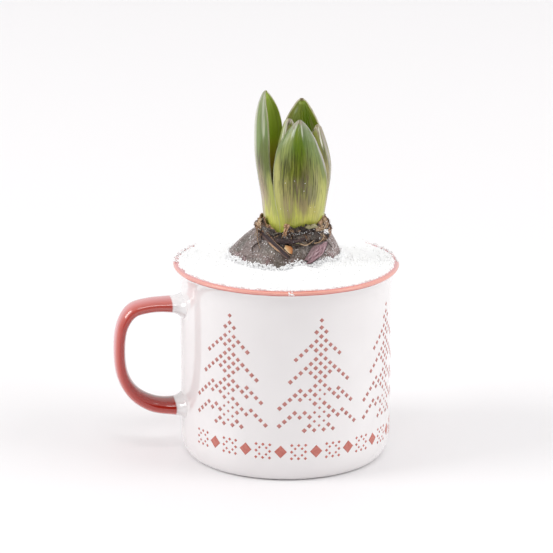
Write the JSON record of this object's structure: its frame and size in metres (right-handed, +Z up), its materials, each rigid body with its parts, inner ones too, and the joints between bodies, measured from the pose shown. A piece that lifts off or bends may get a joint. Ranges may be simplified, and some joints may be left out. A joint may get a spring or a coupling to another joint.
{
  "type": "potted hyacinth",
  "caption": "Sprouting hyacinth bulb in a white ceramic mug with a red lip, red handle and printed fir trees, dressed with white granules.",
  "frame": {"origin": "middle of the bounding box, on the surface that the mug stands on", "axes": "+Z up through the plant; -Y is the side that the picture shows; the mug's handle points to -X"},
  "size_m": [0.1145, 0.09, 0.1474],
  "materials": {
    "glaze": "glossy white glaze with a red lip, red handle and red printed pattern",
    "soil": "rough crumbly potting soil",
    "granules": "matt white granules",
    "tunic": "papery satin bulb skin",
    "root": "matt fleshy root",
    "dry_scale": "crumpled dried scale",
    "tan_scale": "dried tan scale",
    "purple_scale": "papery purple scale",
    "leaf": "waxy satin leaf",
    "leaf_shaded": "waxy satin leaf",
    "bud": "matt packed flower buds"
  },
  "bodies": {
    "root": {"mug": "glaze", "soil": "soil", "dressing": "granules", "bulb": "tunic", "roots": "root", "neck_collar": "dry_scale", "tunic_flap": "dry_scale", "tunic_flake": "tan_scale", "tunic_scale": "purple_scale", "leaf_front": "leaf", "leaf_left": "leaf", "leaf_back": "leaf_shaded", "leaf_right": "leaf", "leaf_inner": "leaf_shaded", "flower_bud": "bud"}
  },
  "joints": []
}
